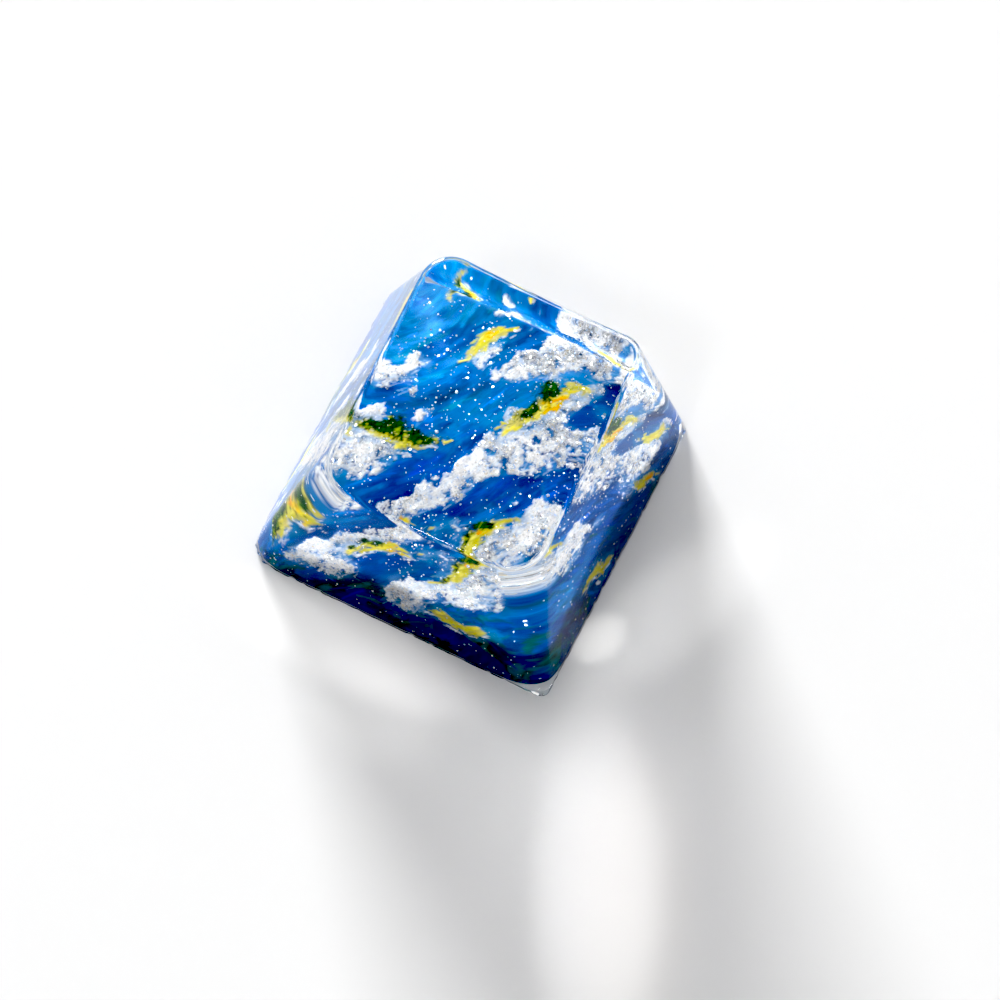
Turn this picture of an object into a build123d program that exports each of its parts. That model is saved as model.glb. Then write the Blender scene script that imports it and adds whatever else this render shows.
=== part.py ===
from build123d import *
import math
import os

os.makedirs("parts", exist_ok=True)

# Artisan keycap, one key unit, tall sculpted top-row shape.
# Millimetres. Origin at the middle of the base rim, +Z up, +Y to the back of
# the keyboard, so the front of the cap faces -Y.

# ---------------------------------------------------------------- dimensions
BASE = 18.1            # side of the square base
BASE_R = (1.40, 0.55, 0.60, 0.85)    # plan radii of the base corners: front left,
                       # front right, back right, back left
TOP_FRONT_Y = -6.50    # front edge of the finger dish
TOP_FRONT_Z = 8.90
TOP_BACK_Y = 7.72      # back edge of the finger dish
TOP_BACK_Z = 11.18
TOP_FRONT_W = 12.70    # width of the top at the front edge
TOP_BACK_W = 12.55     # width of the top at the back edge
TOP_R = (2.00, 2.00, 1.40, 1.95)     # plan radii of the top corners, in the same order
DISH_R = 40.0          # finger dish: cylinder along the length of the top
DISH_SAG = 0.53        # depth of the dish at its middle line
EDGE_R = 0.40          # rounding of the rim of the dish

SKIN = 0.25            # clear resin outside the painted sides
CORE_R = (2.00, 2.50, 2.00, 2.00)    # plan radii of the painted core's corners
CORE_DOME_Z = 4.80     # highest point of the painted core
CORE_DOME_R = 23.0     # radius of its low dome
CORE_DOME_Y = 0.30     # middle of the dome, front to back
CORE_EDGE_R = 0.55     # rounding where the dome turns into the sides

ROOF = 1.05            # thickness of the core over its hollow
MOUTH = 15.2           # side of the hollow at the base rim
CEILING = 14.2         # side of the hollow at HOLLOW_Z
HOLLOW_Z = 4.5
HOLLOW_R = 2.2         # plan radius of the hollow's corners

STEM_D = 5.60          # round stem in the hollow
STEM_RISE = 0.15       # the stem stops this far above the base rim
SOCKET_L = 4.10        # arms of the cross socket
SOCKET_W1 = 1.32       # arm along X
SOCKET_W2 = 1.17       # arm along Y
SOCKET_TOP = 3.90      # height of the socket's end
SOCKET_LEAD = 0.20     # lead-in at the socket's mouth


def corners(points, radii, plane):
    """Closed four-sided outline on a plane, with its corners rounded one by one."""
    with BuildSketch(plane) as sk:
        with BuildLine():
            Polyline(*points, close=True)
        make_face()
        for point, radius in zip(points, radii):
            fillet(sk.vertices().sort_by_distance(Vector(*point))[0], radius)
    return sk.sketch


def ruled(a, b):
    return loft([a.faces()[0], b.faces()[0]], ruled=True)


def square(side, z, radii):
    h = side / 2
    return corners([(-h, -h), (h, -h), (h, h), (-h, h)], radii, Plane.XY.offset(z))


# ---------------------------------------------------------------- outer form
tilt = math.atan2(TOP_BACK_Z - TOP_FRONT_Z, TOP_BACK_Y - TOP_FRONT_Y)
length = math.hypot(TOP_BACK_Z - TOP_FRONT_Z, TOP_BACK_Y - TOP_FRONT_Y)
top_plane = Plane(
    origin=(0, (TOP_FRONT_Y + TOP_BACK_Y) / 2, (TOP_FRONT_Z + TOP_BACK_Z) / 2),
    x_dir=(1, 0, 0),
    z_dir=(0, -math.sin(tilt), math.cos(tilt)),
)
top = corners(
    [(-TOP_FRONT_W / 2, -length / 2), (TOP_FRONT_W / 2, -length / 2),
     (TOP_BACK_W / 2, length / 2), (-TOP_BACK_W / 2, length / 2)],
    TOP_R, top_plane)
outer = ruled(square(BASE, 0, BASE_R), top)

# Finger dish, a shallow trough along the length of the top.
dish = top_plane * Pos(0, 0, DISH_R - DISH_SAG) * Rot(90, 0, 0) * Cylinder(DISH_R, 60)
outer = outer - dish
dish_face = max(outer.faces().filter_by(GeomType.CYLINDER), key=lambda f: f.center().Z)
outer = fillet(dish_face.outer_wire().edges(), EDGE_R)
outer = outer if isinstance(outer, Part) else Part(outer.wrapped)

# ---------------------------------------------------------------- core form
def inside(z):
    """Half sizes of the outer form at height z, less the clear skin."""
    f = z / TOP_FRONT_Z
    b = z / TOP_BACK_Z
    xf = BASE / 2 + (TOP_FRONT_W / 2 - BASE / 2) * f - SKIN
    xb = BASE / 2 + (TOP_BACK_W / 2 - BASE / 2) * b - SKIN
    yf = -BASE / 2 + (TOP_FRONT_Y + BASE / 2) * f + SKIN
    yb = BASE / 2 + (TOP_BACK_Y - BASE / 2) * b - SKIN
    return [(-xf, yf), (xf, yf), (xb, yb), (-xb, yb)]


block = ruled(corners(inside(0.0), CORE_R, Plane.XY),
              corners(inside(6.0), CORE_R, Plane.XY.offset(6.0)))
dome_at = Pos(0, CORE_DOME_Y, CORE_DOME_Z - CORE_DOME_R)
core = block & (dome_at * Sphere(CORE_DOME_R))
dome_face = max(core.faces().filter_by(GeomType.SPHERE), key=lambda f: f.area)
core_form = fillet(dome_face.outer_wire().edges(), CORE_EDGE_R)

# Clear resin cast over the core.
clear_cap = outer - core_form

# ---------------------------------------------------------------- underside
hollow = ruled(square(MOUTH, 0, 4 * (HOLLOW_R,)), square(CEILING, HOLLOW_Z, 4 * (HOLLOW_R,)))
hollow = hollow & (dome_at * Sphere(CORE_DOME_R - ROOF))
stem = Pos(0, 0, STEM_RISE) * Cylinder(
    STEM_D / 2, SOCKET_TOP - STEM_RISE, align=(Align.CENTER, Align.CENTER, Align.MIN))
depth = SOCKET_TOP - STEM_RISE
low = (Align.CENTER, Align.CENTER, Align.MIN)
socket = (Pos(0, 0, STEM_RISE) * Box(SOCKET_L, SOCKET_W1, depth, align=low)
          + Pos(0, 0, STEM_RISE) * Box(SOCKET_W2, SOCKET_L, depth, align=low))
lead = []
for lx, wy in ((SOCKET_L, SOCKET_W1), (SOCKET_W2, SOCKET_L)):
    a = Plane.XY.offset(STEM_RISE) * Rectangle(lx + 2 * SOCKET_LEAD, wy + 2 * SOCKET_LEAD)
    b = Plane.XY.offset(STEM_RISE + SOCKET_LEAD) * Rectangle(lx, wy)
    lead.append(ruled(a, b))

painted_core = core_form - hollow + stem - socket - lead[0] - lead[1]

for name, shape in (("clear_cap", clear_cap), ("painted_core", painted_core)):
    solids = shape.solids()
    print(name, "solids", len(solids), "volume %.1f mm3" % shape.volume, "valid", shape.is_valid)
    export_step(solids[0] if len(solids) == 1 else Compound(children=list(solids)),
                f"parts/{name}.step")
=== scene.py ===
"""Artisan keycap: a domed core painted by hand, cast into clear resin.

Lengths are worked out in millimetres, in the same frame as the part, and go to
Blender in metres.
"""
import math

import bpy
import numpy as np
from mathutils import Matrix, Vector


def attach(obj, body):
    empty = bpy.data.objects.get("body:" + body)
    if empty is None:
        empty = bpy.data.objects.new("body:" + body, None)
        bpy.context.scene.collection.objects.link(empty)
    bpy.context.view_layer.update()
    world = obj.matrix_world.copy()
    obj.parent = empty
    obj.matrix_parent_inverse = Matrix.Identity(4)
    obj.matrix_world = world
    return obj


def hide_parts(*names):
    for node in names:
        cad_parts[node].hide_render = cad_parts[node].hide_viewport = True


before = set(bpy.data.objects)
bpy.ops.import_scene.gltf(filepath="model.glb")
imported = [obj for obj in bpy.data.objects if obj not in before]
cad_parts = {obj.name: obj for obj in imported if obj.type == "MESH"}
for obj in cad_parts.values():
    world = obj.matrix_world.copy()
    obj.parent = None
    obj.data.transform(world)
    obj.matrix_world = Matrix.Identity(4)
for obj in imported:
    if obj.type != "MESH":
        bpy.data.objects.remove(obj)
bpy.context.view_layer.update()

# ---------------------------------------------------------------- dimensions
BASE, BASE_R = 18.1, (1.40, 0.55, 0.60, 0.85)
TOP_FRONT_Y, TOP_FRONT_Z = -6.50, 8.90
TOP_BACK_Y, TOP_BACK_Z = 7.72, 11.18
TOP_FRONT_W, TOP_BACK_W, TOP_R = 12.70, 12.55, (2.00, 2.00, 1.40, 1.95)
DISH_R, DISH_SAG, EDGE_R = 40.0, 0.53, 0.40
SKIN, CORE_R = 0.25, (2.00, 2.50, 2.00, 2.00)
CORE_DOME_Z, CORE_DOME_R, CORE_DOME_Y, CORE_EDGE_R = 4.80, 23.0, 0.30, 0.55
ROOF, MOUTH, CEILING, HOLLOW_Z, HOLLOW_R = 1.05, 15.2, 14.2, 4.5, 4 * (2.2,)
STEM_D, STEM_RISE = 5.60, 0.15
SOCKET_L, SOCKET_W1, SOCKET_W2, SOCKET_TOP, SOCKET_LEAD = 4.10, 1.32, 1.17, 3.90, 0.20

TILT = math.atan2(TOP_BACK_Z - TOP_FRONT_Z, TOP_BACK_Y - TOP_FRONT_Y)
LENGTH = math.hypot(TOP_BACK_Z - TOP_FRONT_Z, TOP_BACK_Y - TOP_FRONT_Y)
TOP_O = np.array([0, (TOP_FRONT_Y + TOP_BACK_Y) / 2, (TOP_FRONT_Z + TOP_BACK_Z) / 2])
TOP_Y = np.array([0, math.cos(TILT), math.sin(TILT)])
TOP_N = np.array([0, -math.sin(TILT), math.cos(TILT)])
DOME_C = np.array([0, CORE_DOME_Y, CORE_DOME_Z - CORE_DOME_R])


# ---------------------------------------------------------------- mesh helpers
def unit(v):
    return v / np.maximum(np.linalg.norm(v, axis=-1, keepdims=True), 1e-12)


def dots(a, b):
    return (a * b).sum(-1)


def rounded(points, radii, ns, na):
    """Closed outline of a four-sided figure with rounded corners, counter-clockwise.
    It starts in the middle of the first corner's arc and has ns points on each
    straight and na on each arc."""
    pts = np.array(points, float)
    arcs = []
    for i in range(4):
        p, radius = pts[i], radii[i]
        a, b = unit(pts[i - 1] - p), unit(pts[(i + 1) % 4] - p)
        half = 0.5 * math.acos(float(a @ b))
        reach = radius / math.tan(half)
        start, end = p + a * reach, p + b * reach
        c = p + unit(a + b) * radius / math.sin(half)
        a0 = math.atan2(*(start - c)[::-1])
        a1 = math.atan2(*(end - c)[::-1])
        if a1 < a0:
            a1 += 2 * math.pi
        arcs.append((c, a0, a1, start, end, radius))
    out, h = [], na // 2
    for i in range(4):
        c, a0, a1, _, end, ra = arcs[i]
        d, b0, b1, start, _, rb = arcs[(i + 1) % 4]
        am, bm = (a0 + a1) / 2, (b0 + b1) / 2
        for k in range(h):
            g = am + (a1 - am) * k / h
            out.append(c + ra * np.array([math.cos(g), math.sin(g)]))
        for k in range(ns):
            out.append(end + (start - end) * k / ns)
        for k in range(h):
            g = b0 + (bm - b0) * k / h
            out.append(d + rb * np.array([math.cos(g), math.sin(g)]))
    return np.array(out)


def lift(loop, z):
    return np.column_stack([loop, np.full(len(loop), float(z))])


def square(side):
    h = side / 2
    return [(-h, -h), (h, -h), (h, h), (-h, h)]


def inside(z, skin=SKIN):
    f, b = z / TOP_FRONT_Z, z / TOP_BACK_Z
    xf = BASE / 2 + (TOP_FRONT_W / 2 - BASE / 2) * f - skin
    xb = BASE / 2 + (TOP_BACK_W / 2 - BASE / 2) * b - skin
    yf = -BASE / 2 + (TOP_FRONT_Y + BASE / 2) * f + skin
    yb = BASE / 2 + (TOP_BACK_Y - BASE / 2) * b - skin
    return [(-xf, yf), (xf, yf), (xb, yb), (-xb, yb)]


def round_edge(edge, side_dir, face_normal, radius, steps):
    """Rounds the edge where sides that run down along side_dir meet a face, as rings
    from the face to the sides. The edge runs counter-clockwise seen from above."""
    tau = unit(np.roll(edge, -1, 0) - np.roll(edge, 1, 0))
    ns = unit(np.cross(tau, -side_dir))
    a = unit(np.cross(ns, tau))
    a = np.where(dots(a, side_dir)[:, None] < 0, -a, a)
    b = unit(np.cross(face_normal, tau))
    mid = edge.mean(0)
    b = np.where(dots(b, mid - edge)[:, None] < 0, -b, b)
    phi = np.arccos(np.clip(dots(a, b), -1, 1))[:, None]
    reach = radius / np.tan(phi / 2)
    c = edge + unit(a + b) * radius / np.sin(phi / 2)
    p0, p1 = edge + b * reach - c, edge + a * reach - c
    w = np.arccos(np.clip(dots(unit(p0), unit(p1)), -1, 1))[:, None]
    return [
        c + (np.sin(w * (1 - f)) * p0 + np.sin(w * f) * p1) / np.sin(w)
        for f in np.linspace(0, 1, steps + 1)
    ]


def grid_rings(m):
    """Ring number and place round the ring, from 0 to 1, of each vertex of a square
    grid of 2m+1 by 2m+1, the grid's quads, and its outer ring in order."""
    n = 2 * m + 1
    j, i = np.meshgrid(np.arange(-m, m + 1), np.arange(-m, m + 1), indexing="ij")
    k = np.maximum(abs(i), abs(j))
    kk = np.maximum(k, 1)
    pos = np.zeros((n, n))
    front = j == -k
    right = (i == k) & ~front
    back = (j == k) & ~front & ~right
    left = (i == -k) & ~front & ~right & ~back
    pos[front] = (i + k)[front]
    pos[right] = (2 * k + j + k)[right]
    pos[back] = (4 * k + k - i)[back]
    pos[left] = (6 * k + k - j)[left]
    t = pos / (8.0 * kk)
    idx = np.arange(n * n).reshape(n, n)
    quads = np.stack([idx[:-1, :-1], idx[:-1, 1:], idx[1:, 1:], idx[1:, :-1]], -1).reshape(-1, 4)
    outer = np.concatenate([idx[0, :-1], idx[:-1, -1], idx[-1, :0:-1], idx[:0:-1, 0]])
    return k.ravel(), t.ravel(), quads, outer


def around(loop, t):
    """Points of a closed loop at places t from 0 to 1."""
    x = np.asarray(t) * len(loop)
    i = np.floor(x).astype(int)
    f = (x - i)[:, None]
    return loop[i % len(loop)] * (1 - f) + loop[(i + 1) % len(loop)] * f


class Shell:
    """Vertices and faces of one mesh, put together ring by ring."""

    def __init__(self):
        self.v, self.f, self.m, self.n = [], [], [], 0

    def add(self, points):
        self.v.append(np.asarray(points, float))
        ids = np.arange(self.n, self.n + len(points))
        self.n += len(points)
        return ids

    def faces(self, faces, mat=0):
        faces = [tuple(int(x) for x in f) for f in faces]
        self.f += faces
        self.m += [mat] * len(faces)

    def band(self, a, b, mat=0):
        """Quads between two rings of the same number of points."""
        a2, b2 = np.roll(a, -1), np.roll(b, -1)
        self.faces(np.stack([a, b, b2, a2], -1), mat)

    def stitch(self, a, ta, b, tb, mat=0):
        """Triangles between two rings of different numbers of points, by their places ta and tb."""
        na, nb, i, j, out = len(a), len(b), 0, 0, []
        while i < na or j < nb:
            na_t = ta[i + 1] if i + 1 < na else 1 + ta[0]
            nb_t = tb[j + 1] if j + 1 < nb else 1 + tb[0]
            if j >= nb or (i < na and na_t <= nb_t):
                out.append((a[i % na], b[j % nb], a[(i + 1) % na]))
                i += 1
            else:
                out.append((a[i % na], b[j % nb], b[(j + 1) % nb]))
                j += 1
        self.faces(out, mat)

    def points(self):
        return np.concatenate(self.v)

    def make(self, name, materials):
        me = bpy.data.meshes.new(name)
        me.from_pydata((self.points() * 0.001).tolist(), [], self.f)
        for m in materials:
            me.materials.append(m)
        me.polygons.foreach_set("material_index", np.array(self.m, np.int32))
        me.polygons.foreach_set("use_smooth", np.ones(len(self.f), bool))
        me.update()
        ob = bpy.data.objects.new(name, me)
        bpy.context.scene.collection.objects.link(ob)
        return ob


def vertex_normals(points, quads):
    n = np.zeros_like(points)
    q = points[quads]
    fn = np.cross(q[:, 2] - q[:, 0], q[:, 3] - q[:, 1])
    for c in range(4):
        np.add.at(n, quads[:, c], fn)
    return unit(n)


def smooth01(x):
    x = np.clip(x, 0, 1)
    return x * x * (3 - 2 * x)


class Waves:
    """A smooth random field: a sum of plane waves of random direction."""

    def __init__(self, seed, n, short, long):
        r = np.random.default_rng(seed)
        g = r.uniform(0, 2 * math.pi, n)
        k = 2 * math.pi / np.exp(r.uniform(math.log(short), math.log(long), n))
        self.kx, self.ky = k * np.cos(g), k * np.sin(g)
        self.ph = r.uniform(0, 2 * math.pi, n)
        self.s = math.sqrt(2.0 / n)

    def __call__(self, x, y):
        out = np.zeros(np.broadcast(x, y).shape)
        for a, b, p in zip(self.kx, self.ky, self.ph):
            out += np.sin(a * x + b * y + p)
        return out * self.s


# ---------------------------------------------------------------- outlines
NS, NA = 84, 16                     # 400 points round
N = 4 * (NS + NA)
T_N = np.arange(N) / N


def dish_w(u):
    return (DISH_R - DISH_SAG) - np.sqrt(DISH_R ** 2 - u ** 2)


def local(p):
    d = p - TOP_O
    return d[..., 0], d @ TOP_Y, d @ TOP_N


def from_local(u, v, w):
    return TOP_O + np.stack([u, np.zeros_like(u), np.zeros_like(u)], -1) + np.multiply.outer(v, TOP_Y) + np.multiply.outer(w, TOP_N)


def core_outline(ns, na):
    """Rings of the core's form for each place round it: the edge of the dome, the
    rounding and the foot of the side, with the direction down the side."""
    foot = lift(rounded(inside(0.0), CORE_R, ns, na), 0)
    high = lift(rounded(inside(6.0), CORE_R, ns, na), 6)
    lo, hi = np.zeros(len(foot)), np.ones(len(foot))
    for _ in range(50):
        s = (lo + hi) / 2
        p = foot + (high - foot) * s[:, None]
        out = np.linalg.norm(p - DOME_C, axis=1) > CORE_DOME_R
        hi, lo = np.where(out, s, hi), np.where(out, lo, s)
    edge = foot + (high - foot) * ((lo + hi) / 2)[:, None]
    down = unit(foot - high)
    return foot, edge, down


def dome_point(plan, radius=CORE_DOME_R):
    r2 = ((plan - DOME_C[:2]) ** 2).sum(-1)
    return np.column_stack([plan, DOME_C[2] + np.sqrt(radius ** 2 - r2)])


# ---------------------------------------------------------------- materials
def material(name):
    m = bpy.data.materials.new(name)
    m.use_nodes = True
    nt = m.node_tree
    return m, nt, nt.nodes["Principled BSDF"]


def clear_resin():
    m, nt, p = material("clear_resin")
    p.inputs["Base Color"].default_value = (1.0, 1.0, 1.0, 1)
    p.inputs["Roughness"].default_value = 0.0
    p.inputs["IOR"].default_value = 1.5
    p.inputs["Transmission Weight"].default_value = 1.0
    return m


def paint():
    m, nt, p = material("hand_paint")
    at = nt.nodes.new("ShaderNodeVertexColor")
    at.layer_name = "paint"
    flow = nt.nodes.new("ShaderNodeAttribute")
    flow.attribute_name = "flow"
    streak = nt.nodes.new("ShaderNodeTexNoise")
    streak.inputs["Scale"].default_value = 1.0
    streak.inputs["Detail"].default_value = 3.0
    streak.inputs["Roughness"].default_value = 0.6
    nt.links.new(flow.outputs["Vector"], streak.inputs["Vector"])
    rng = nt.nodes.new("ShaderNodeMapRange")
    rng.inputs["From Min"].default_value = 0.25
    rng.inputs["From Max"].default_value = 0.75
    rng.inputs["To Min"].default_value = 0.86
    rng.inputs["To Max"].default_value = 1.13
    nt.links.new(streak.outputs["Fac"], rng.inputs["Value"])
    # grains of glitter in the foam, of random tone; the lighter grains are a painted sparkle
    geo = nt.nodes.new("ShaderNodeTexCoord")
    cell = nt.nodes.new("ShaderNodeTexVoronoi")
    cell.inputs["Scale"].default_value = 9000.0
    nt.links.new(geo.outputs["Object"], cell.inputs["Vector"])
    one = nt.nodes.new("ShaderNodeSeparateColor")
    nt.links.new(cell.outputs["Color"], one.inputs["Color"])
    grain_and_painted_sparkle = nt.nodes.new("ShaderNodeMapRange")
    grain_and_painted_sparkle.inputs["To Min"].default_value = -0.42
    grain_and_painted_sparkle.inputs["To Max"].default_value = 0.36
    nt.links.new(one.outputs["Red"], grain_and_painted_sparkle.inputs["Value"])
    share = nt.nodes.new("ShaderNodeAttribute")
    share.attribute_name = "silver"
    part = nt.nodes.new("ShaderNodeMath")
    part.operation = "MULTIPLY_ADD"
    nt.links.new(share.outputs["Fac"], part.inputs[0])
    nt.links.new(grain_and_painted_sparkle.outputs["Result"], part.inputs[1])
    nt.links.new(rng.outputs["Result"], part.inputs[2])
    mul = nt.nodes.new("ShaderNodeVectorMath")
    mul.operation = "SCALE"
    nt.links.new(at.outputs["Color"], mul.inputs[0])
    nt.links.new(part.outputs["Value"], mul.inputs["Scale"])
    nt.links.new(mul.outputs["Vector"], p.inputs["Base Color"])
    rough = nt.nodes.new("ShaderNodeMapRange")
    rough.inputs["To Min"].default_value = 0.45
    rough.inputs["To Max"].default_value = 0.75
    nt.links.new(streak.outputs["Fac"], rough.inputs["Value"])
    nt.links.new(rough.outputs["Result"], p.inputs["Roughness"])
    p.inputs["Specular IOR Level"].default_value = 0.12
    return m


def cast_resin():
    """The plain underside: cast resin, pale, with faint cloudiness and pores."""
    m, nt, p = material("cast_resin")
    geo = nt.nodes.new("ShaderNodeTexCoord")
    cloud = nt.nodes.new("ShaderNodeTexNoise")
    cloud.inputs["Scale"].default_value = 420.0
    cloud.inputs["Detail"].default_value = 5.0
    nt.links.new(geo.outputs["Object"], cloud.inputs["Vector"])
    ramp = nt.nodes.new("ShaderNodeValToRGB")
    ramp.color_ramp.elements[0].position = 0.3
    ramp.color_ramp.elements[0].color = (0.60, 0.64, 0.70, 1)
    ramp.color_ramp.elements[1].position = 0.7
    ramp.color_ramp.elements[1].color = (0.74, 0.77, 0.81, 1)
    nt.links.new(cloud.outputs["Fac"], ramp.inputs["Fac"])
    nt.links.new(ramp.outputs["Color"], p.inputs["Base Color"])
    fine = nt.nodes.new("ShaderNodeTexNoise")
    fine.inputs["Scale"].default_value = 5200.0
    fine.inputs["Detail"].default_value = 2.0
    nt.links.new(geo.outputs["Object"], fine.inputs["Vector"])
    rough = nt.nodes.new("ShaderNodeMapRange")
    rough.inputs["To Min"].default_value = 0.30
    rough.inputs["To Max"].default_value = 0.55
    nt.links.new(fine.outputs["Fac"], rough.inputs["Value"])
    nt.links.new(rough.outputs["Result"], p.inputs["Roughness"])
    bump = nt.nodes.new("ShaderNodeBump")
    bump.inputs["Strength"].default_value = 0.25
    bump.inputs["Distance"].default_value = 0.00002
    nt.links.new(fine.outputs["Fac"], bump.inputs["Height"])
    nt.links.new(bump.outputs["Normal"], p.inputs["Normal"])
    return m


def flake_metal():
    m, nt, p = material("flake_metal")
    at = nt.nodes.new("ShaderNodeVertexColor")
    at.layer_name = "flake"
    nt.links.new(at.outputs["Color"], p.inputs["Base Color"])
    p.inputs["Metallic"].default_value = 1.0
    p.inputs["Roughness"].default_value = 0.28
    return m


# ---------------------------------------------------------------- clear body
def clear_body():
    sh = Shell()
    base = lift(rounded(square(BASE), BASE_R, NS, NA), 0)
    hw, bw, hl = TOP_FRONT_W / 2, TOP_BACK_W / 2, LENGTH / 2
    plan = rounded([(-hw, -hl), (hw, -hl), (bw, hl), (-bw, hl)], TOP_R, NS, NA)
    top = from_local(plan[:, 0], plan[:, 1], np.zeros(N))
    lo, hi = np.full(N, 0.5), np.ones(N)
    for _ in range(50):
        s = (lo + hi) / 2
        u, v, w = local(base + (top - base) * s[:, None])
        over = w > dish_w(u)
        hi, lo = np.where(over, s, hi), np.where(over, lo, s)
    edge = base + (top - base) * ((lo + hi) / 2)[:, None]
    u, _, _ = local(edge)
    slope = u / np.sqrt(DISH_R ** 2 - u ** 2)
    normal = unit(np.multiply.outer(np.ones(N), TOP_N) - np.multiply.outer(slope, np.array([1.0, 0, 0])))
    rim = round_edge(edge, unit(base - top), normal, EDGE_R, 12)

    # finger dish, out from its middle
    m = N // 8
    k, t, quads, outer = grid_rings(m)
    eu, ev, _ = local(around(rim[0], t))
    f = k / m
    gu, gv = eu * f, ev * f
    dish = from_local(gu, gv, dish_w(gu))
    dish[outer] = rim[0]
    ids = sh.add(dish)
    sh.faces(quads + ids[0])
    ring = ids[outer]
    for r in rim[1:]:
        nxt = sh.add(r)
        sh.band(ring, nxt)
        ring = nxt

    # sides, down to a small rounding at the foot, which is trimmed by hand
    start, foot_r = rim[-1], 0.07
    out = unit(np.cross(unit(np.roll(base, -1, 0) - np.roll(base, 1, 0)), np.array([0, 0, 1.0])))
    chip = trimmed(base)
    edge_line = base
    base = edge_line - out * chip[:, None]
    run = unit(base - start)
    stop = base - run * foot_r
    for g in [0.01, 0.03] + list(np.linspace(0.07, 0.91, 22)) + [0.94, 0.96, 0.975, 0.985, 0.995, 1.0]:
        p = start + (edge_line - run * foot_r - start) * g
        p = p - out * (chip * smooth01((0.75 - p[:, 2]) / 0.7))[:, None]
        nxt = sh.add(stop if g == 1.0 else p)
        sh.band(ring, nxt)
        ring = nxt
    under = base - out * foot_r
    for g in np.linspace(0, 1, 6)[1:]:
        p = stop * (1 - g) ** 2 + base * 2 * g * (1 - g) + under * g ** 2
        nxt = sh.add(p)
        sh.band(ring, nxt)
        ring = nxt

    # foot, and the seat round the core
    foot, core_edge, down = core_outline(NS, NA)
    nrm = unit(core_edge - DOME_C)
    seat = round_edge(core_edge, down, nrm, CORE_EDGE_R, 8)
    for g in (0.35, 1.0):
        nxt = sh.add(under + (foot - under) * g)
        sh.band(ring, nxt)
        ring = nxt
    for g in np.linspace(0, 1, 13)[1:]:
        nxt = sh.add(foot + (seat[-1] - foot) * g)
        sh.band(ring, nxt)
        ring = nxt
    for r in seat[-2:0:-1]:
        nxt = sh.add(r)
        sh.band(ring, nxt)
        ring = nxt
    e2 = around(seat[0][:, :2], t)
    top_grid = dome_point(DOME_C[:2] + (e2 - DOME_C[:2]) * f[:, None])
    top_grid[outer] = seat[0]
    ids = sh.add(top_grid)
    sh.faces(quads[:, ::-1] + ids[0])
    sh.band(ring, ids[outer])

    # a few small bubbles left by the casting
    rs = np.random.default_rng(41)
    for c, r in bubbles(rs):
        ball(sh, c, r)
    return sh


def trimmed(base):
    """How far the trimmed foot stands back from the base outline, in mm: a faint
    waviness, small nicks, and a broken corner at the front left."""
    step = np.linalg.norm(np.roll(base, -1, 0) - base, axis=1)
    s = np.concatenate([[0], np.cumsum(step)[:-1]]) / step.sum() * 2 * math.pi
    r = np.random.default_rng(77)

    def ring_noise(low, high, n):
        k = r.integers(low, high, n)
        return sum(np.sin(a * s + b) for a, b in zip(k, r.uniform(0, 2 * math.pi, n))) * math.sqrt(2.0 / n)

    wavy = smooth01(0.5 + 0.28 * ring_noise(12, 60, 14))
    nick = smooth01((ring_noise(60, 150, 16) - 0.55) / 1.2)
    near = np.exp(-(np.hypot(base[:, 0] + BASE / 2, base[:, 1] + BASE / 2) / 1.7) ** 2)
    return 0.035 * wavy + 0.065 * nick + near * (0.06 + 0.16 * smooth01(0.5 + 0.4 * ring_noise(50, 130, 12)))


def dish_z(x, y):
    """Height of the dish above a point of the plan."""
    w = dish_w(np.clip(x, -8, 8))
    v = (y - TOP_O[1] + w * math.sin(TILT)) / math.cos(TILT)
    return TOP_O[2] + v * math.sin(TILT) + w * math.cos(TILT)


def in_clear(p, gap):
    """True where a point is inside the clear resin, by at least gap."""
    x, y, z = p[..., 0], p[..., 1], p[..., 2]
    f, b = z / TOP_FRONT_Z, z / TOP_BACK_Z
    g = np.clip((y + 8) / 16, 0, 1)
    half = BASE / 2 + (TOP_FRONT_W / 2 - BASE / 2) * f * (1 - g) + (TOP_BACK_W / 2 - BASE / 2) * b * g - gap
    yf = -BASE / 2 + (TOP_FRONT_Y + BASE / 2) * f + gap
    yb = BASE / 2 + (TOP_BACK_Y - BASE / 2) * b - gap
    r = 1.2
    cx = np.maximum(abs(x) - (half - r), 0)
    cy = np.maximum(np.maximum((yf + r) - y, y - (yb - r)), 0)
    ok = (abs(x) < half) & (y > yf) & (y < yb) & (np.hypot(cx, cy) < r) & (z < dish_z(x, y) - gap)
    return ok & (np.linalg.norm(p - DOME_C, axis=-1) > CORE_DOME_R + gap)


def bubbles(rs):
    out = []
    while len(out) < 16:
        p = np.array([rs.uniform(-6, 6), rs.uniform(-6, 6), rs.uniform(4.6, 9.6)])
        r = float(np.exp(rs.uniform(math.log(0.045), math.log(0.12))))
        if in_clear(p, r + 0.3) and all(np.linalg.norm(p - q) > 1.2 for q, _ in out):
            out.append((p, r))
    return out


def ball(sh, c, r):
    """A round hollow in the resin: its faces look inwards."""
    nu, nv = 20, 10
    rings = []
    for j in range(1, nv):
        a = math.pi * j / nv
        g = np.arange(nu) * 2 * math.pi / nu
        rings.append(sh.add(c + r * np.column_stack([np.sin(a) * np.cos(g), np.sin(a) * np.sin(g), np.full(nu, np.cos(a))])))
    north, south = sh.add([c + [0, 0, r]])[0], sh.add([c - [0, 0, r]])[0]
    for a, b in zip(rings, rings[1:]):
        sh.band(b, a)
    a, b = rings[0], rings[-1]
    sh.faces([(north, a[(i + 1) % nu], a[i]) for i in range(nu)])
    sh.faces([(south, b[i], b[(i + 1) % nu]) for i in range(nu)])


# ---------------------------------------------------------------- painted design
SPAN = 13.0                         # half width of the painted sheet laid out flat
CELLS = 1300
PX = 2 * SPAN / CELLS


def lin(*rgb):
    c = np.array(rgb, float) / 255
    return np.where(c <= 0.04045, c / 12.92, ((c + 0.055) / 1.055) ** 2.4)


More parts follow.
